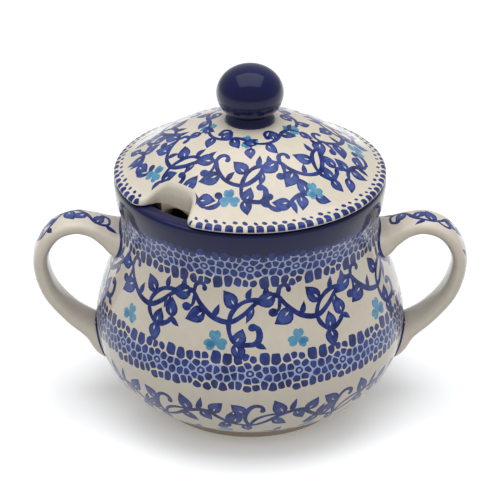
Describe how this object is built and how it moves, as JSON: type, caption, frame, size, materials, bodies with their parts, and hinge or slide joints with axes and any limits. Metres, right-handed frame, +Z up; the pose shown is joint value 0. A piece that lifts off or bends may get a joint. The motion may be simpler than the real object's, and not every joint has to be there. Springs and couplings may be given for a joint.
{
  "type": "sugar bowl",
  "caption": "Round-bellied glazed stoneware sugar bowl with strap handles on both sides and a lift-off domed lid with ball knob and spoon notch.",
  "frame": {"origin": "centre of the foot ring's rest face, on the bowl's axis", "axes": "+Z up along the bowl's axis, X through both handles, the front faces -Y, with the spoon notch front left between -X and -Y"},
  "size_m": [0.1498, 0.107, 0.1252],
  "materials": {
    "painted_body_glaze": "glossy cream glaze over cobalt-blue painted vines, floral bands and a dark cobalt collar",
    "painted_handle_glaze": "glossy cream glaze with a cobalt-blue painted sprig along the outer face",
    "painted_lid_glaze": "glossy cream glaze over cobalt-blue painted vines and small light-blue flowers",
    "cobalt_glaze": "deep glossy cobalt glaze"
  },
  "bodies": {
    "bowl": {"bowl_body": "painted_body_glaze", "handle_left": "painted_handle_glaze", "handle_right": "painted_handle_glaze"},
    "cover": {"lid": "painted_lid_glaze", "lid_knob": "cobalt_glaze"}
  },
  "joints": [
    {"name": "lid_lift", "type": "slide", "parent": "bowl", "child": "cover", "axis": [0, 0, 1], "range_m": [0, 0.06]}
  ]
}
